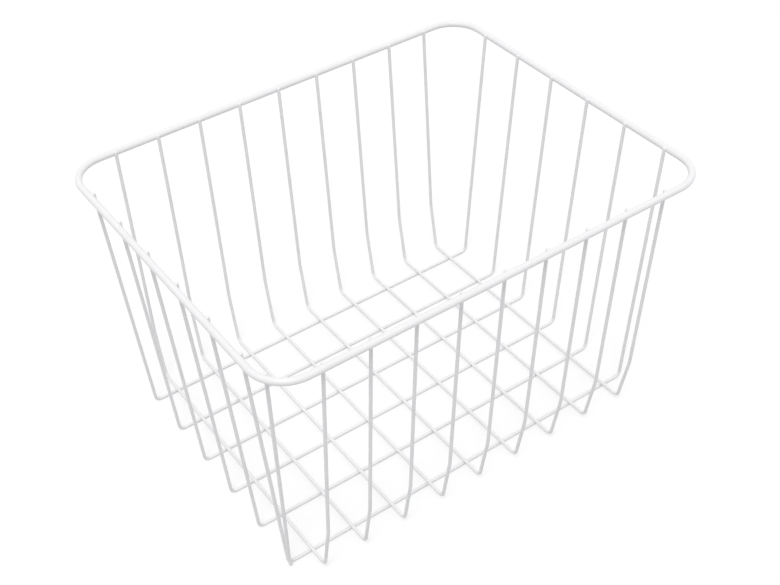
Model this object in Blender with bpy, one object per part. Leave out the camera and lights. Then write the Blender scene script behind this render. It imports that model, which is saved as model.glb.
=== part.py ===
# Cooler basket of coated welded wire: a heavy rim ring, nine crosswise and six lengthwise
# U-shaped wires that form the walls and the base grid, and one extra upright in a corner.
# X runs along the basket, Y across it, and Z is up from the surface that it stands on.

import math

import bpy
from mathutils import Quaternion, Vector

# Overall form
HEIGHT = 0.250            # standing surface to the top of the rim
TOP_LENGTH = 0.398        # between the short walls' wire centres, at the rim's height
TOP_WIDTH = 0.310         # between the long walls' wire centres, at the rim's height
BASE_LENGTH = 0.364       # between the short walls' wire centres, at the base
BASE_WIDTH = 0.272        # between the long walls' wire centres, at the base
LEAN_HEIGHT = 0.049       # the long walls draw in faster below this height above the base run
LEAN_WIDTH = 0.290        # between the long walls' wire centres, at that height

# Wire
WIRE_DIAMETER = 0.003     # coated
RIM_DIAMETER = 0.006      # coated
CLEARANCE = 0.0003        # left at each weld between two pieces

# Bends, all to the wire's centre line
BASE_BEND_RADIUS = 0.006
LEAN_BEND_RADIUS = 0.060
RIM_CORNER_RADIUS = 0.030

# Wire layout
CROSS_WIRE_COUNT = 9
LENGTH_WIRE_COUNT = 6
CROSS_BASE_MARGIN = 0.022   # outermost crosswise wire to the end of the base
LENGTH_BASE_MARGIN = 0.021  # outermost lengthwise wire to the side of the base
CROSS_RIM_MARGIN = 0.0138   # outermost crosswise wire to the rim's corner bend
LENGTH_RIM_MARGIN = 0.0148  # outermost lengthwise wire to the rim's corner bend
TIP_DROP = 0.0006           # wire ends stop this far below the top of the rim

# Corner upright
CORNER_ANGLE = math.radians(28)  # where its top meets the rim's corner bend
CORNER_FOOT_RISE = 0.003         # its lower end above the standing surface
CORNER_LAP = 0.011               # length that lies along the lengthwise wire
CORNER_LEAN_HEIGHT = 0.057       # it leans out faster below this height
CORNER_SPREAD = 0.0093           # its distance from the lengthwise wire at that height
CORNER_BEND_RADIUS = 0.060

# Fineness of the solids
WIRE_SIDES = 8
RIM_SIDES = 12
WIRE_BEND_STEP = math.radians(15)
RIM_BEND_STEP = math.radians(6)
TIP_RINGS = 3
TIP_RING_STEP = math.radians(30)

WIRE_RADIUS = WIRE_DIAMETER / 2
RIM_RADIUS = RIM_DIAMETER / 2
RIM_AXIS_HEIGHT = HEIGHT - RIM_RADIUS
TIP_HEIGHT = HEIGHT - TIP_DROP
LENGTH_RUN_HEIGHT = WIRE_RADIUS
CROSS_RUN_HEIGHT = LENGTH_RUN_HEIGHT + WIRE_DIAMETER + CLEARANCE

# The rim's centre line stands outside the walls, so that the wires are welded to its inner side
RIM_OFFSET = WIRE_RADIUS + CLEARANCE + RIM_RADIUS
RIM_HALF_LENGTH = TOP_LENGTH / 2 + RIM_OFFSET
RIM_HALF_WIDTH = TOP_WIDTH / 2 + RIM_OFFSET


def coated_wire_material(name, colour, roughness):
    material = bpy.data.materials.new(name)
    material.use_nodes = True
    shader = material.node_tree.nodes["Principled BSDF"]
    shader.inputs["Base Color"].default_value = (*colour, 1)
    shader.inputs["Roughness"].default_value = roughness
    shader.inputs["Metallic"].default_value = 0
    return material


def bend(before, corner, after, radius, step):
    """Points of the arc that rounds one corner of a wire's path."""
    to_before = (before - corner).normalized()
    to_after = (after - corner).normalized()
    half_angle = to_before.angle(to_after) / 2
    turn = math.pi - 2 * half_angle
    centre = corner + (to_before + to_after).normalized() * (radius / math.sin(half_angle))
    spoke = corner + to_before * (radius / math.tan(half_angle)) - centre
    axis = to_after.cross(to_before)
    count = max(1, math.ceil(turn / step))
    return [centre + Quaternion(axis, turn * index / count) @ spoke for index in range(count + 1)]


def wire_path(corners, radii, step):
    """An open path through the corners, with an arc at each inner one."""
    points = [corners[0]]
    for before, corner, after, radius in zip(corners, corners[1:], corners[2:], radii):
        points += bend(before, corner, after, radius, step)
    return points + [corners[-1]]


def rounded_end(end, inward):
    """Points and thickness shares of a wire's domed end, from the full section outwards."""
    rings = []
    for index in range(TIP_RINGS):
        angle = TIP_RING_STEP * index
        depth = WIRE_RADIUS * (math.sin(TIP_RING_STEP * (TIP_RINGS - 1)) - math.sin(angle))
        rings.append((end + inward * depth, math.cos(angle)))
    return rings


def swept_wire(name, rings, diameter, sides, closed, material):
    """A round wire along the rings' points. The tilt turns one flat of its section downwards."""
    curve = bpy.data.curves.new(name, "CURVE")
    curve.dimensions = "3D"
    curve.twist_mode = "MINIMUM"
    curve.bevel_depth = diameter / 2 / math.cos(math.pi / sides)
    curve.bevel_resolution = sides // 2 - 2
    curve.use_fill_caps = not closed
    spline = curve.splines.new("POLY")
    spline.points.add(len(rings) - 1)
    spline.use_cyclic_u = closed
    for point, (place, share) in zip(spline.points, rings):
        point.co = (*place, 1)
        point.radius = share
        point.tilt = math.pi / sides
    wire = bpy.data.objects.new(name, curve)
    wire.data.materials.append(material)
    bpy.context.collection.objects.link(wire)
    return wire


def open_wire(name, corners, radii, material):
    """A bent wire with both of its ends rounded."""
    points = wire_path(corners, radii, WIRE_BEND_STEP)
    start = rounded_end(points[0], (points[1] - points[0]).normalized())
    end = rounded_end(points[-1], (points[-2] - points[-1]).normalized())
    rings = start[::-1] + [(point, 1) for point in points[1:-1]] + end
    return swept_wire(name, rings, WIRE_DIAMETER, WIRE_SIDES, False, material)


def spread(count, outermost):
    """Evenly spaced places from one outermost wire to the other."""
    return [outermost * (2 * index / (count - 1) - 1) for index in range(count)]


def wall_place(base, top, height, run_height):
    """A wall wire's distance from the middle at a height, on its straight line from base to rim."""
    share = (height - run_height) / (RIM_AXIS_HEIGHT - run_height)
    return base + (top - base) * share


def rim(material):
    corners = [
        Vector((along * RIM_HALF_LENGTH, across * RIM_HALF_WIDTH, RIM_AXIS_HEIGHT))
        for along, across in ((1, 1), (-1, 1), (-1, -1), (1, -1))
    ]
    points = []
    for index, corner in enumerate(corners):
        before = corners[index - 1]
        after = corners[(index + 1) % len(corners)]
        points += bend(before, corner, after, RIM_CORNER_RADIUS, RIM_BEND_STEP)
    rings = [(point, 1) for point in points]
    return swept_wire("rim", rings, RIM_DIAMETER, RIM_SIDES, True, material)


def cross_wire(name, base_x, rim_x, material):
    """Down one long wall, across the base and up the other, with a lean near each foot."""
    lean_height = CROSS_RUN_HEIGHT + LEAN_HEIGHT
    tip_y = wall_place(LEAN_WIDTH / 2, TOP_WIDTH / 2, TIP_HEIGHT, lean_height)
    lean_x = wall_place(base_x, rim_x, lean_height, CROSS_RUN_HEIGHT)
    tip_x = wall_place(base_x, rim_x, TIP_HEIGHT, CROSS_RUN_HEIGHT)
    side = [
        Vector((tip_x, tip_y, TIP_HEIGHT)),
        Vector((lean_x, LEAN_WIDTH / 2, lean_height)),
        Vector((base_x, BASE_WIDTH / 2, CROSS_RUN_HEIGHT)),
    ]
    other_side = [Vector((point.x, -point.y, point.z)) for point in reversed(side)]
    radii = (LEAN_BEND_RADIUS, BASE_BEND_RADIUS, BASE_BEND_RADIUS, LEAN_BEND_RADIUS)
    return open_wire(name, side + other_side, radii, material)


def length_wire(name, base_y, rim_y, material):
    """Down one short wall, along the base under the crosswise wires, and up the other."""
    tip_x = wall_place(BASE_LENGTH / 2, TOP_LENGTH / 2, TIP_HEIGHT, LENGTH_RUN_HEIGHT)
    tip_y = wall_place(base_y, rim_y, TIP_HEIGHT, LENGTH_RUN_HEIGHT)
    side = [
        Vector((-tip_x, tip_y, TIP_HEIGHT)),
        Vector((-BASE_LENGTH / 2, base_y, LENGTH_RUN_HEIGHT)),
    ]
    other_side = [Vector((-point.x, point.y, point.z)) for point in reversed(side)]
    radii = (BASE_BEND_RADIUS, BASE_BEND_RADIUS)
    return open_wire(name, side + other_side, radii, material)


def corner_upright(base_y, rim_y, material):
    """The extra wire: it lies along the last lengthwise wire's foot, then leans out to the rim's corner."""
    spoke = RIM_CORNER_RADIUS - RIM_OFFSET
    centre_x = RIM_HALF_LENGTH - RIM_CORNER_RADIUS
    centre_y = RIM_HALF_WIDTH - RIM_CORNER_RADIUS
    top = Vector((
        -centre_x - spoke * math.cos(CORNER_ANGLE),
        -centre_y - spoke * math.sin(CORNER_ANGLE),
        TIP_HEIGHT,
    ))
    beside = WIRE_DIAMETER + CLEARANCE
    lower_stretch = [
        Vector((
            -wall_place(BASE_LENGTH / 2, TOP_LENGTH / 2, height, LENGTH_RUN_HEIGHT),
            wall_place(base_y, rim_y, height, LENGTH_RUN_HEIGHT) - distance,
            height,
        ))
        for height, distance in (
            (CORNER_LEAN_HEIGHT, CORNER_SPREAD),
            (CORNER_FOOT_RISE + CORNER_LAP, beside),
            (CORNER_FOOT_RISE, beside),
        )
    ]
    radii = (CORNER_BEND_RADIUS, CORNER_BEND_RADIUS)
    return open_wire("corner_upright", [top] + lower_stretch, radii, material)


def build():
    for old in list(bpy.data.objects):
        bpy.data.objects.remove(old)
    rim_coat = coated_wire_material("rim coating", (0.86, 0.86, 0.87), 0.32)
    wire_coat = coated_wire_material("wire coating", (0.84, 0.84, 0.85), 0.36)

    rim(rim_coat)
    base_x = spread(CROSS_WIRE_COUNT, BASE_LENGTH / 2 - CROSS_BASE_MARGIN)
    rim_x = spread(CROSS_WIRE_COUNT, RIM_HALF_LENGTH - RIM_CORNER_RADIUS - CROSS_RIM_MARGIN)
    for index, (low, high) in enumerate(zip(base_x, rim_x)):
        cross_wire(f"cross_wire_{index + 1}", low, high, wire_coat)

    base_y = spread(LENGTH_WIRE_COUNT, LENGTH_BASE_MARGIN - BASE_WIDTH / 2)
    rim_y = spread(LENGTH_WIRE_COUNT, LENGTH_RIM_MARGIN + RIM_CORNER_RADIUS - RIM_HALF_WIDTH)
    for index, (low, high) in enumerate(zip(base_y, rim_y)):
        length_wire(f"length_wire_{index + 1}", low, high, wire_coat)
    corner_upright(base_y[-1], rim_y[-1], wire_coat)


build()
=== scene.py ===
import math

import bpy
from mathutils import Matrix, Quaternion, Vector, noise


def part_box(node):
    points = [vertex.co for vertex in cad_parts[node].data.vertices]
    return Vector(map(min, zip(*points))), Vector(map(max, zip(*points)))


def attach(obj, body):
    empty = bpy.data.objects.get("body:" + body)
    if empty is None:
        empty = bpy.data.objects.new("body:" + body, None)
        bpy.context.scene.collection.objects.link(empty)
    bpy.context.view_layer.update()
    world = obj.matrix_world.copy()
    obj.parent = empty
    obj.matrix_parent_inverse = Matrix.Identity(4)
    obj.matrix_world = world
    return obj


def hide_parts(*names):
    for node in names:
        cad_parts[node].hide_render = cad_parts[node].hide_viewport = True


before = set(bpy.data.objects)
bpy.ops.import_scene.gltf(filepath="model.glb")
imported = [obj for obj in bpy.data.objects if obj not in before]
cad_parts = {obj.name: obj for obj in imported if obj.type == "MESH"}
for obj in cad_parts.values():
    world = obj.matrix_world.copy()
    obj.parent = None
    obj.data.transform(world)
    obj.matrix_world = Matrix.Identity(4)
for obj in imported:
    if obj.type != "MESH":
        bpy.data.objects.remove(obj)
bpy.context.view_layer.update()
print("frame loaded:", len(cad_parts), "wires")


# Wire paths and tubes

coat = {
    "wander": 0.00004,               # how far the coat's surface dips under a true round
    "wanderSize": 0.014,             # distance between a thick spot and a thin one
    "tipSwell": 0.04,                # the coat gathers a little at a cut end
    "tipSwellLength": 0.004,
    "straightStep": 0.005,           # between rings on the straights
    "turnStep": math.radians(9),     # and round the bends
    "tipEdge": 0.00055,              # the coat rounds off the edge of a square-cut end
    "tipCrown": 0.00012,             # and stands a little proud in its middle
    "tipTurn": math.radians(15),     # between the rings of that rounding
}


def makeMesh(name, verts, faces):
    mesh = bpy.data.meshes.new(name)
    mesh.from_pydata(verts, [], faces)
    mesh.shade_smooth()
    return mesh


def bendAt(before, corner, after, radius):
    # the arc that rounds one corner of a path
    toBefore = (before - corner).normalized()
    toAfter = (after - corner).normalized()
    halfAngle = toBefore.angle(toAfter) / 2
    turn = math.pi - 2 * halfAngle
    centre = corner + (toBefore + toAfter).normalized() * (radius / math.sin(halfAngle))
    spoke = corner + toBefore * (radius / math.tan(halfAngle)) - centre
    axis = toAfter.cross(toBefore)
    count = max(2, math.ceil(turn / coat["turnStep"]))
    return [centre + Quaternion(axis, turn * i / count) @ spoke for i in range(count + 1)]


def fillStraights(points, closed):
    # even steps wherever two neighbouring points lie far apart
    filled = []
    followers = points[1:] + points[:1] if closed else points[1:]
    for here, following in zip(points, followers):
        steps = max(1, round((following - here).length / coat["straightStep"]))
        filled += [here.lerp(following, i / steps) for i in range(steps)]
    return filled if closed else filled + [points[-1]]


def openPath(corners, bends, endCut):
    # a bent wire's centre line, cut back at both ends to leave room for the tips
    points = [corners[0].lerp(corners[1], endCut / (corners[1] - corners[0]).length)]
    for before, corner, after, radius in zip(corners, corners[1:], corners[2:], bends):
        points += bendAt(before, corner, after, radius)
    points.append(corners[-1].lerp(corners[-2], endCut / (corners[-2] - corners[-1]).length))
    return fillStraights(points, False)


def closedPath(corners, radius):
    points = []
    for i, corner in enumerate(corners):
        points += bendAt(corners[i - 1], corner, corners[(i + 1) % len(corners)], radius)
    return fillStraights(points, True)


def ringsAlong(path, closed):
    # place, direction, side and thickness share of each ring, carried along without twist
    count = len(path)
    directions = []
    for i in range(count):
        before = path[i - 1] if closed or i else path[0]
        after = path[(i + 1) % count] if closed or i < count - 1 else path[-1]
        directions.append((after - before).normalized())
    lengths = [0]
    for here, following in zip(path, path[1:]):
        lengths.append(lengths[-1] + (following - here).length)
    side = directions[0].orthogonal().normalized()
    rings = []
    for i, (place, direction) in enumerate(zip(path, directions)):
        if i:
            side = directions[i - 1].rotation_difference(direction) @ side
        fromEnd = min(lengths[i], lengths[-1] - lengths[i])
        swell = 0 if closed else max(0, 1 - fromEnd / coat["tipSwellLength"])
        rings.append((place, direction, side.copy(), 1 + coat["tipSwell"] * swell))
    return rings


def tipOn(ring, radius, outward):
    # the rings of a cut end with its edge rounded by the coat, from the wire outwards
    place, direction, side, share = ring
    edge = coat["tipEdge"]
    turns = [coat["tipTurn"] * k for k in range(1, round(math.pi / 2 / coat["tipTurn"]))]
    steps = [(edge * math.sin(turn), edge * (1 - math.cos(turn))) for turn in turns]
    steps += [(edge + coat["tipCrown"] * k / 2, edge + (radius - edge) * k / 3) for k in (1, 2)]
    tip = []
    for ahead, inset in steps:
        middle = place + direction * (outward * ahead)
        tip.append((middle, direction, side.copy(), share * (radius - inset) / radius))
    return tip


def tubeMesh(name, path, radius, sides, closed=False):
    rings = ringsAlong(path, closed)
    if not closed:
        rings = tipOn(rings[0], radius, -1)[::-1] + rings + tipOn(rings[-1], radius, 1)
    verts = []
    for place, direction, side, share in rings:
        across = direction.cross(side)
        for k in range(sides):
            angle = 2 * math.pi * k / sides
            out = side * math.cos(angle) + across * math.sin(angle)
            spot = place + out * radius * share
            dip = coat["wander"] * share * (1 + noise.noise(spot / coat["wanderSize"])) / 2
            verts.append(spot - out * dip)
    faces = []
    for i in range(len(rings) if closed else len(rings) - 1):
        low = i * sides
        high = (i + 1) % len(rings) * sides
        for k in range(sides):
            follow = (k + 1) % sides
            faces.append((low + k, low + follow, high + follow, high + k))
    if not closed:
        faces.append(tuple(reversed(range(sides))))
        faces.append(tuple(range(len(verts) - sides, len(verts))))
    return makeMesh(name, verts, faces)


def addPiece(name, mesh, material, nodes=()):
    piece = bpy.data.objects.new(name, mesh)
    bpy.context.scene.collection.objects.link(piece)
    piece.data.materials.append(material)
    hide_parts(*nodes)
    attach(piece, "root")


# Weld fillets, where the coat bridges from one wire to the other

fillet = {
    "around": 24,
    "steps": 5,        # from one wire to the other
    "sink": 0.00006,   # its edges end just under the wires' surfaces
}


def crossingOf(placeA, alongA, placeB, alongB):
    # the nearest points of two centre lines that cross at a distance
    apart = placeA - placeB
    slant = alongA.dot(alongB)
    shiftA = (slant * alongB.dot(apart) - alongA.dot(apart)) / (1 - slant * slant)
    shiftB = (alongB.dot(apart) - slant * alongA.dot(apart)) / (1 - slant * slant)
    return placeA + alongA * shiftA, placeB + alongB * shiftB


def reachAt(angle, along, across):
    # an oval footprint's half-width in one direction
    return 1 / math.hypot(math.cos(angle) / along, math.sin(angle) / across)


def addFillet(verts, faces, wireA, wireB, reach):
    # a saddle round the touching point, tangent to both round wires
    placeA, alongA, radiusA = wireA
    placeB, alongB, radiusB = wireB
    pointA, pointB = crossingOf(placeA, alongA, placeB, alongB)
    gap = (pointB - pointA).length
    up = (pointB - pointA) / gap
    ahead = alongA
    aside = up.cross(ahead)
    turnB = math.atan2(alongB.dot(aside), alongB.dot(ahead))
    radiusA -= fillet["sink"]
    radiusB -= fillet["sink"]
    start = len(verts)
    for k in range(fillet["around"]):
        angle = 2 * math.pi * k / fillet["around"]
        onB = angle - turnB
        forward = math.cos(onB) > 0
        footA = reachAt(angle, reach["alongA"], reach["acrossA" if forward else "behindA"])
        footB = reachAt(onB, reach["alongB" if forward else "behindB"], reach["acrossB"])
        crossA = footA * math.sin(angle)
        crossB = footB * math.sin(onB)
        highA = math.sqrt(radiusA ** 2 - crossA ** 2)
        highB = gap - math.sqrt(radiusB ** 2 - crossB ** 2)
        slopeA = -crossA * math.sin(angle) / highA
        slopeB = crossB * math.sin(onB) / (gap - highB)
        # the wires' tangents meet at the neck, which the curve between them bends towards
        neck = (highB - slopeB * footB - highA + slopeA * footA) / (slopeA - slopeB)
        neckHigh = highA + slopeA * (neck - footA)
        for i in range(fillet["steps"] + 1):
            t = i / fillet["steps"]
            out = footA * (1 - t) ** 2 + 2 * neck * t * (1 - t) + footB * t ** 2
            high = highA * (1 - t) ** 2 + 2 * neckHigh * t * (1 - t) + highB * t ** 2
            level = ahead * math.cos(angle) + aside * math.sin(angle)
            verts.append(pointA + up * high + level * out)
    column = fillet["steps"] + 1
    for k in range(fillet["around"]):
        here = start + k * column
        following = start + (k + 1) % fillet["around"] * column
        for i in range(fillet["steps"]):
            faces.append((here + i, following + i, following + i + 1, here + i + 1))
    bottom = [start + k * column for k in range(fillet["around"])]
    faces.append(tuple(reversed(bottom)))
    faces.append(tuple(k + fillet["steps"] for k in bottom))


def filletMesh(name, joints, reach):
    verts = []
    faces = []
    for wireA, wireB in joints:
        addFillet(verts, faces, wireA, wireB, reach)
    return makeMesh(name, verts, faces)


# Coating materials

def socket(group, inOut, kind, name, value=None):
    made = group.interface.new_socket(name=name, in_out=inOut, socket_type=kind)
    if value is not None:
        made.default_value = value


def link(tree, source, sourceSocket, target, targetSocket):
    tree.links.new(source.outputs[sourceSocket], target.inputs[targetSocket])


def addNode(tree, kind, values=()):
    node = tree.nodes.new(kind)
    for name in values:
        node.inputs[name].default_value = values[name]
    return node


def addMath(tree, operation, amount=None):
    node = tree.nodes.new("ShaderNodeMath")
    node.operation = operation
    if amount is not None:
        node.inputs[1].default_value = amount
    return node


coatTexture = {
    "patches": {"Detail": 4, "Roughness": 0.6},
    "thinRange": {"From Min": 0.42, "From Max": 0.68},   # where the patches count as thin coat
    "peel": {"Detail": 2},
    "peelPerMetre": 900,
    "peelShare": 0.35,                                   # of the relief, against the runs
    "runs": {"Detail": 3, "Distortion": 0.4},
    "runsPerMetre": 130,
    "runRange": {"From Min": 0.3, "From Max": 0.7},      # from smooth hollows to duller backs
}


def makeCoatTone():
    # soft patches where the coat is a touch thinner and greyer
    group = bpy.data.node_groups.new("coatTone", "ShaderNodeTree")
    socket(group, "INPUT", "NodeSocketColor", "Coat")
    socket(group, "INPUT", "NodeSocketColor", "Thin Coat")
    socket(group, "INPUT", "NodeSocketFloat", "Patches Per Metre")
    socket(group, "INPUT", "NodeSocketFloat", "Thin Share")
    socket(group, "OUTPUT", "NodeSocketColor", "Colour")
    ins = group.nodes.new("NodeGroupInput")
    outs = group.nodes.new("NodeGroupOutput")
    place = addNode(group, "ShaderNodeTexCoord")
    patches = addNode(group, "ShaderNodeTexNoise", coatTexture["patches"])
    spread = addNode(group, "ShaderNodeMapRange", coatTexture["thinRange"])
    spread.interpolation_type = "SMOOTHSTEP"
    amount = addMath(group, "MULTIPLY")
    blend = addNode(group, "ShaderNodeMix")
    blend.data_type = "RGBA"
    link(group, place, "Object", patches, "Vector")
    link(group, ins, "Patches Per Metre", patches, "Scale")
    link(group, patches, "Fac", spread, "Value")
    link(group, spread, "Result", amount, 0)
    link(group, ins, "Thin Share", amount, 1)
    link(group, amount, 0, blend, "Factor")
    link(group, ins, "Coat", blend, 6)   # a Mix node's colour sockets are 6, 7 and 2
    link(group, ins, "Thin Coat", blend, 7)
    link(group, blend, 2, outs, "Colour")
    return group


def makeCoatRelief():
    # the fine orange peel of a fused coat, over slow runs
    group = bpy.data.node_groups.new("coatRelief", "ShaderNodeTree")
    socket(group, "INPUT", "NodeSocketFloat", "Peel Per Metre", coatTexture["peelPerMetre"])
    socket(group, "INPUT", "NodeSocketFloat", "Runs Per Metre", coatTexture["runsPerMetre"])
    socket(group, "INPUT", "NodeSocketFloat", "Smooth Gloss")
    socket(group, "INPUT", "NodeSocketFloat", "Dull Gloss")
    socket(group, "OUTPUT", "NodeSocketFloat", "Height")
    socket(group, "OUTPUT", "NodeSocketFloat", "Roughness")
    ins = group.nodes.new("NodeGroupInput")
    outs = group.nodes.new("NodeGroupOutput")
    place = addNode(group, "ShaderNodeTexCoord")
    peel = addNode(group, "ShaderNodeTexNoise", coatTexture["peel"])
    runs = addNode(group, "ShaderNodeTexNoise", coatTexture["runs"])
    both = addMath(group, "MULTIPLY_ADD", coatTexture["peelShare"])
    gloss = addNode(group, "ShaderNodeMapRange", coatTexture["runRange"])
    link(group, place, "Object", peel, "Vector")
    link(group, place, "Object", runs, "Vector")
    link(group, ins, "Peel Per Metre", peel, "Scale")
    link(group, ins, "Runs Per Metre", runs, "Scale")
    link(group, peel, "Fac", both, 0)
    link(group, runs, "Fac", both, 2)
    link(group, both, 0, outs, "Height")
    link(group, runs, "Fac", gloss, "Value")
    link(group, ins, "Smooth Gloss", gloss, "To Min")
    link(group, ins, "Dull Gloss", gloss, "To Max")
    link(group, gloss, "Result", outs, "Roughness")
    return group


coatTone = makeCoatTone()
coatRelief = makeCoatRelief()

whiteCoat = {
    "colour": (0.931, 0.931, 0.933, 1),
    "thinColour": (0.862, 0.862, 0.869, 1),   # where the coat lies thin
    "reliefDepth": 0.00008,
    "gloss": 0.25,
    "glossRoughness": 0.12,
}
# the rim's coat and thin coat colours are lightened, a painted highlight for the stronger light on
# the rim
rimPaintedHighlightFinish = {
    "Coat": (0.945, 0.945, 0.947, 1),         # painted highlight: paler than the wires' coat, standing in for the brighter light on the rim
    "Thin Coat": (0.888, 0.888, 0.895, 1),
    "Patches Per Metre": 45,
    "Thin Share": 0.35,
    "Smooth Gloss": 0.2,
    "Dull Gloss": 0.34,
}
wireFinish = {
    "Coat": whiteCoat["colour"],
    "Thin Coat": whiteCoat["thinColour"],
    "Patches Per Metre": 70,
    "Thin Share": 0.5,
    "Smooth Gloss": 0.24,
    "Dull Gloss": 0.4,
}
weldFinish = {
    "Coat": whiteCoat["colour"],
    "Thin Coat": whiteCoat["thinColour"],
    "Patches Per Metre": 160,
    "Thin Share": 0.8,
    "Smooth Gloss": 0.32,
    "Dull Gloss": 0.48,
}


def placeGroup(tree, group, finish):
    # the group as a node, with the values that the finish gives it
    node = tree.nodes.new("ShaderNodeGroup")
    node.node_tree = group
    for sock in node.inputs:
        if sock.name in finish:
            sock.default_value = finish[sock.name]
    return node


def coatedMaterial(name, finish):
    material = bpy.data.materials.new(name)
    material.use_nodes = True
    tree = material.node_tree
    shader = tree.nodes["Principled BSDF"]
    shader.inputs["Coat Weight"].default_value = whiteCoat["gloss"]
    shader.inputs["Coat Roughness"].default_value = whiteCoat["glossRoughness"]
    tone = placeGroup(tree, coatTone, finish)
    relief = placeGroup(tree, coatRelief, finish)
    bump = addNode(tree, "ShaderNodeBump", {"Distance": whiteCoat["reliefDepth"]})
    link(tree, tone, "Colour", shader, "Base Color")
    link(tree, relief, "Roughness", shader, "Roughness")
    link(tree, relief, "Height", bump, "Height")
    link(tree, bump, "Normal", shader, "Normal")
    return material


rimCoat = coatedMaterial("rim coat", rimPaintedHighlightFinish)
wireCoat = coatedMaterial("wire coat", wireFinish)
weldCoat = coatedMaterial("weld coat", weldFinish)
print("coating materials made")


# The rim

rim = {
    "cornerRadius": 0.030,
    "sides": 32,
}
rimLow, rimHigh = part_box("rim")
rimRadius = (rimHigh.z - rimLow.z) / 2
rimPlace = Vector((rimHigh.x - rimRadius, rimHigh.y - rimRadius, rimLow.z + rimRadius))
rimCorners = [
    Vector((rimPlace.x * side, rimPlace.y * end, rimPlace.z))
    for side, end in ((1, 1), (-1, 1), (-1, -1), (1, -1))
]
rimPath = closedPath(rimCorners, rim["cornerRadius"])
rimMesh = tubeMesh("coatedRim", rimPath, rimRadius, rim["sides"], True)
addPiece("coatedRim", rimMesh, rimCoat, ["rim"])
print("rim made")


# The crosswise wires, over the lengthwise ones

crossWires = {
    "count": 9,
    "halfAtRim": 0.1563,     # wire centres from the middle, where the coats run together
    "halfAtLean": 0.145,
    "halfAtBase": 0.136,
    "leanRise": 0.049,       # the lean's height over the base run
    "leanBend": 0.060,
    "baseBend": 0.006,
    "sides": 20,
}


def onLine(low, high, lowHeight, highHeight, height):
    # a straight wall's distance from the middle at a height
    return low + (high - low) * (height - lowHeight) / (highHeight - lowHeight)


def tipJoint(onRim, alongRim, tip, below):
    # the rim's line and a wire's line where they meet, each with its radius
    return (onRim, alongRim, rimRadius), (tip, (tip - below).normalized(), wireRadius)


low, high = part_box("cross_wire_1")
wireRadius = (high.x - low.x) / 2
endCut = coat["tipEdge"] + coat["tipCrown"]
crossJoints = []
crossRuns = []
for i in range(crossWires["count"]):
    node = f"cross_wire_{i + 1}"
    low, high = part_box(node)
    x = (low.x + high.x) / 2
    run = low.z + wireRadius
    lean = run + crossWires["leanRise"]
    tip = onLine(crossWires["halfAtLean"], crossWires["halfAtRim"], lean, rimPlace.z, high.z)
    side = [
        Vector((x, tip, high.z)),
        Vector((x, crossWires["halfAtLean"], lean)),
        Vector((x, crossWires["halfAtBase"], run)),
    ]
    corners = side + [Vector((x, -p.y, p.z)) for p in reversed(side)]
    bends = (crossWires["leanBend"], crossWires["baseBend"])
    path = openPath(corners, bends + bends[::-1], endCut)
    name = f"coatedCrossWire{i + 1}"
    mesh = tubeMesh(name, path, wireRadius, crossWires["sides"])
    addPiece(name, mesh, wireCoat, [node])
    crossRuns.append((Vector((x, 0, run)), Vector((0, 1, 0)), wireRadius))
    for tipCorner, leanCorner in ((corners[0], corners[1]), (corners[-1], corners[-2])):
        onRim = Vector((x, math.copysign(rimPlace.y, tipCorner.y), rimPlace.z))
        crossJoints.append(tipJoint(onRim, Vector((1, 0, 0)), tipCorner, leanCorner))
print("crosswise wires made:", len(crossRuns))


# The lengthwise wires, lowest in the base

lengthWires = {
    "count": 6,
    "halfAtRim": 0.2003,
    "halfAtBase": 0.182,
    "baseBend": 0.006,
    "sides": 20,
}


def endWallAt(run, height):
    # a short wall's distance from the middle at a height
    return onLine(lengthWires["halfAtBase"], lengthWires["halfAtRim"], run, rimPlace.z, height)


lengthJoints = []
lengthRuns = []
for i in range(lengthWires["count"]):
    node = f"length_wire_{i + 1}"
    low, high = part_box(node)
    y = (low.y + high.y) / 2
    run = low.z + wireRadius
    side = [
        Vector((-endWallAt(run, high.z), y, high.z)),
        Vector((-lengthWires["halfAtBase"], y, run)),
    ]
    corners = side + [Vector((-p.x, y, p.z)) for p in reversed(side)]
    path = openPath(corners, (lengthWires["baseBend"], lengthWires["baseBend"]), endCut)
    name = f"coatedLengthWire{i + 1}"
    mesh = tubeMesh(name, path, wireRadius, lengthWires["sides"])
    addPiece(name, mesh, wireCoat, [node])
    lengthRuns.append((Vector((0, y, run)), Vector((1, 0, 0)), wireRadius))
    for tipCorner, baseCorner in ((corners[0], corners[1]), (corners[-1], corners[-2])):
        onRim = Vector((math.copysign(rimPlace.x, tipCorner.x), y, rimPlace.z))
        lengthJoints.append(tipJoint(onRim, Vector((0, 1, 0)), tipCorner, baseCorner))
print("lengthwise wires made:", len(lengthRuns))


# The extra upright in the near corner

cornerUpright = {
    "rimAngle": math.radians(28),   # where its top meets the rim's corner bend
    "lean": (0.057, 0.0093),        # height, and distance from the last lengthwise wire
    "lapTop": (0.014, 0.0033),
    "bend": 0.060,
    "sides": 20,
}

low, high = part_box("corner_upright")
lastRow = lengthRuns[-1][0].y
lastRun = lengthRuns[-1][0].z
bendSpoke = rim["cornerRadius"] - (rimPlace.x - lengthWires["halfAtRim"])
cornerOut = Vector((-math.cos(cornerUpright["rimAngle"]), -math.sin(cornerUpright["rimAngle"]), 0))
bendCentre = Vector((rim["cornerRadius"] - rimPlace.x, rim["cornerRadius"] - rimPlace.y, high.z))
corners = [bendCentre + cornerOut * bendSpoke]
lapAway = cornerUpright["lapTop"][1]
for height, away in (cornerUpright["lean"], cornerUpright["lapTop"], (low.z, lapAway)):
    corners.append(Vector((-endWallAt(lastRun, height), lastRow - away, height)))
path = openPath(corners, (cornerUpright["bend"], cornerUpright["bend"]), endCut)
cornerMesh = tubeMesh("coatedCornerUpright", path, wireRadius, cornerUpright["sides"])
addPiece("coatedCornerUpright", cornerMesh, wireCoat, ["corner_upright"])
onRim = bendCentre + cornerOut * rim["cornerRadius"]
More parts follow.
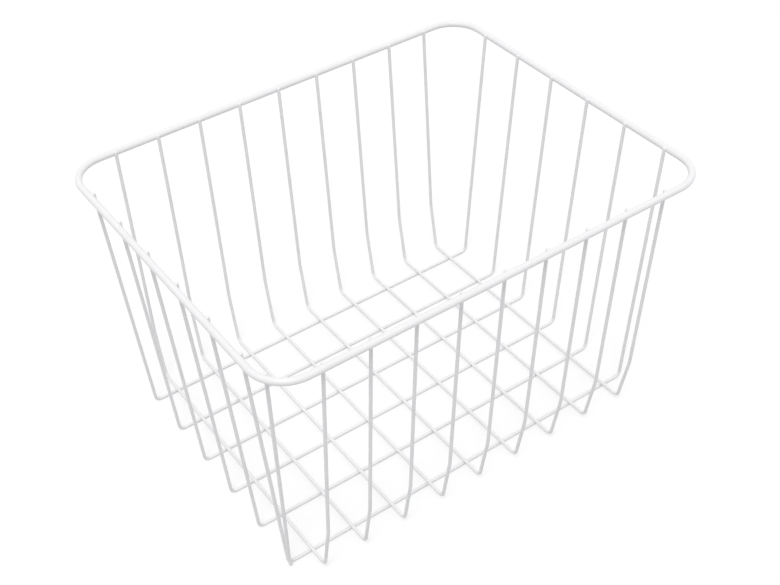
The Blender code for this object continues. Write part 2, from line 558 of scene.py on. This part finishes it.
onRim.z = rimPlace.z
cornerJoint = tipJoint(onRim, Vector((-cornerOut.y, cornerOut.x, 0)), corners[0], corners[1])
print("corner upright made")


# The welds, where A is the rim or the lower wire in the base, and B the wire welded to it

baseWeld = {
    "alongA": 0.0024,
    "acrossA": 0.0012,
    "behindA": 0.0012,
    "alongB": 0.0024,
    "behindB": 0.0024,
    "acrossB": 0.0012,
}
rimWeld = {
    "alongA": 0.0023,
    "acrossA": 0.0018,       # towards the wire's tip, where it ends inside the wire
    "behindA": 0.0024,
    "alongB": 0.0012,
    "behindB": 0.0031,
    "acrossB": 0.00143,
}

baseJoints = [(lower, upper) for lower in lengthRuns for upper in crossRuns]
addPiece("baseWelds", filletMesh("baseWelds", baseJoints, baseWeld), weldCoat)
rimJoints = crossJoints + lengthJoints + [cornerJoint]
addPiece("rimWelds", filletMesh("rimWelds", rimJoints, rimWeld), weldCoat)
print("welds made:", len(baseJoints), "in the base and", len(rimJoints), "at the rim")

# the lap, where the corner upright's foot lies along the last lengthwise wire
lapWeld = {
    "endGap": 0.0007,              # above the foot's cut end
    "top": 0.013,
    "reach": math.radians(46),     # how far round each wire it goes
    "rings": 14,
    "steps": 5,
    "endShare": 0.02,              # its blunt ends, as a share of its length
}


def lapMesh(name, wire, foot):
    # a web between two wires side by side, drawn in to nothing at both ends
    radius = wireRadius - fillet["sink"]
    along = (wire[1] - wire[0]).normalized()
    verts = []
    for i in range(lapWeld["rings"] + 1):
        t = i / lapWeld["rings"]
        placeA = wire[0].lerp(wire[1], t)
        placeB = foot[0].lerp(foot[1], t)
        toB = (placeB - placeA).normalized()
        out = along.cross(toB)
        inside = min(max(t, lapWeld["endShare"]), 1 - lapWeld["endShare"])
        reach = lapWeld["reach"] * math.sqrt(math.sin(math.pi * inside))
        for side in (1, -1):
            edgeA = placeA + (toB * math.cos(reach) + out * (side * math.sin(reach))) * radius
            edgeB = placeB + (out * (side * math.sin(reach)) - toB * math.cos(reach)) * radius
            neckHigh = math.sin(reach) * radius - (edgeB - edgeA).length / 2 / math.tan(reach)
            neck = (placeA + placeB) / 2 + out * (side * max(neckHigh, 0))
            row = []
            for k in range(lapWeld["steps"] + 1):
                u = k / lapWeld["steps"]
                row.append(edgeA * (1 - u) ** 2 + neck * (2 * u * (1 - u)) + edgeB * u ** 2)
            verts += row if side > 0 else row[::-1]
    around = 2 * (lapWeld["steps"] + 1)
    faces = []
    for i in range(lapWeld["rings"]):
        low = i * around
        high = low + around
        for k in range(around):
            follow = (k + 1) % around
            faces.append((low + k, high + k, high + follow, low + follow))
    faces.append(tuple(range(around)))
    faces.append(tuple(reversed(range(len(verts) - around, len(verts)))))
    return makeMesh(name, verts, faces)


lapHeights = (corners[-1].z + lapWeld["endGap"], lapWeld["top"])
lapWire = [Vector((-endWallAt(lastRun, z), lastRow, z)) for z in lapHeights]
lapFoot = [spot - Vector((0, lapAway, 0)) for spot in lapWire]
addPiece("lapWeld", lapMesh("lapWeld", lapWire, lapFoot), weldCoat)
print("lap weld made")


# Floor, light and camera

studio = {
    "floorSize": 12.0,
    "floorColour": (0.42, 0.42, 0.424, 1),
    "floorRoughness": 0.9,
    "floorGlow": 0.6,            # lifts the floor to white for the camera and in reflections
    "roomColour": (0.985, 0.985, 1.0, 1),
    "roomStrength": 0.735,
}

# a soft far lamp high over the near corner, in an evenly white room
keyLamp = {
    "towards": (-0.5, -0.5, 1.7),
    "strength": 0.95,
    "spread": math.radians(17),
}


def shownRays(tree):
    # 1 for camera, glossy and transmission rays, which all see the white surroundings
    ray = addNode(tree, "ShaderNodeLightPath")
    first = addMath(tree, "MAXIMUM")
    second = addMath(tree, "MAXIMUM")
    link(tree, ray, "Is Camera Ray", first, 0)
    link(tree, ray, "Is Glossy Ray", first, 1)
    link(tree, first, 0, second, 0)
    link(tree, ray, "Is Transmission Ray", second, 1)
    return second.outputs[0]


def makeFloor():
    half = studio["floorSize"] / 2
    floorCorners = [(-half, -half, 0), (half, -half, 0), (half, half, 0), (-half, half, 0)]
    mesh = makeMesh("floor", floorCorners, [(0, 1, 2, 3)])
    floor = bpy.data.objects.new("floor", mesh)
    bpy.context.scene.collection.objects.link(floor)
    material = bpy.data.materials.new("studio floor")
    material.use_nodes = True
    tree = material.node_tree
    shader = tree.nodes["Principled BSDF"]
    shader.inputs["Base Color"].default_value = studio["floorColour"]
    shader.inputs["Roughness"].default_value = studio["floorRoughness"]
    shader.inputs["Specular IOR Level"].default_value = 0
    glow = addNode(tree, "ShaderNodeEmission")
    lift = addMath(tree, "MULTIPLY", studio["floorGlow"])
    both = addNode(tree, "ShaderNodeAddShader")
    facing = addNode(tree, "ShaderNodeNewGeometry")
    clear = addNode(tree, "ShaderNodeBsdfTransparent")
    choose = addNode(tree, "ShaderNodeMixShader")
    tree.links.new(shownRays(tree), lift.inputs[0])
    link(tree, lift, 0, glow, "Strength")
    link(tree, shader, "BSDF", both, 0)
    link(tree, glow, "Emission", both, 1)
    link(tree, facing, "Backfacing", choose, "Fac")
    link(tree, both, 0, choose, 1)
    link(tree, clear, "BSDF", choose, 2)
    link(tree, choose, 0, tree.nodes["Material Output"], "Surface")
    mesh.materials.append(material)


def makeRoom():
    world = bpy.data.worlds.new("white room")
    world.use_nodes = True
    bpy.context.scene.world = world
    tree = world.node_tree
    back = tree.nodes["Background"]
    back.inputs["Color"].default_value = studio["roomColour"]
    back.inputs["Strength"].default_value = studio["roomStrength"]
    seen = addNode(tree, "ShaderNodeBackground", {"Color": (1, 1, 1, 1)})
    choose = addNode(tree, "ShaderNodeMixShader")
    tree.links.new(shownRays(tree), choose.inputs["Fac"])
    link(tree, back, "Background", choose, 1)
    link(tree, seen, "Background", choose, 2)
    link(tree, choose, 0, tree.nodes["World Output"], "Surface")


def makeLamp():
    lamp = bpy.data.lights.new("key lamp", "SUN")
    lamp.energy = keyLamp["strength"]
    lamp.angle = keyLamp["spread"]
    holder = bpy.data.objects.new("key lamp", lamp)
    holder.location = keyLamp["towards"]
    holder.rotation_euler = Vector(keyLamp["towards"]).to_track_quat("Z", "Y").to_euler()
    bpy.context.scene.collection.objects.link(holder)


photoView = {
    "place": (-0.4812, -0.7016, 0.8597),
    "turn": (48.971, 2.317, -34.416),   # degrees about X, Y and Z
    "lens": 59.728,
    "shift": 0.0513,                    # the photograph's lens points a little left of its middle
    "clip": (0.01, 50),                 # nearest and farthest distance shown
}


def makeCamera():
    camera = bpy.data.cameras.new("photo view")
    camera.lens = photoView["lens"]
    camera.shift_x = photoView["shift"]
    camera.clip_start, camera.clip_end = photoView["clip"]
    holder = bpy.data.objects.new("photo view", camera)
    holder.location = photoView["place"]
    holder.rotation_euler = [math.radians(a) for a in photoView["turn"]]
    bpy.context.scene.collection.objects.link(holder)
    bpy.context.scene.camera = holder


makeFloor()
makeRoom()
makeLamp()
makeCamera()
bpy.context.scene.view_settings.view_transform = "Standard"
print("studio made")
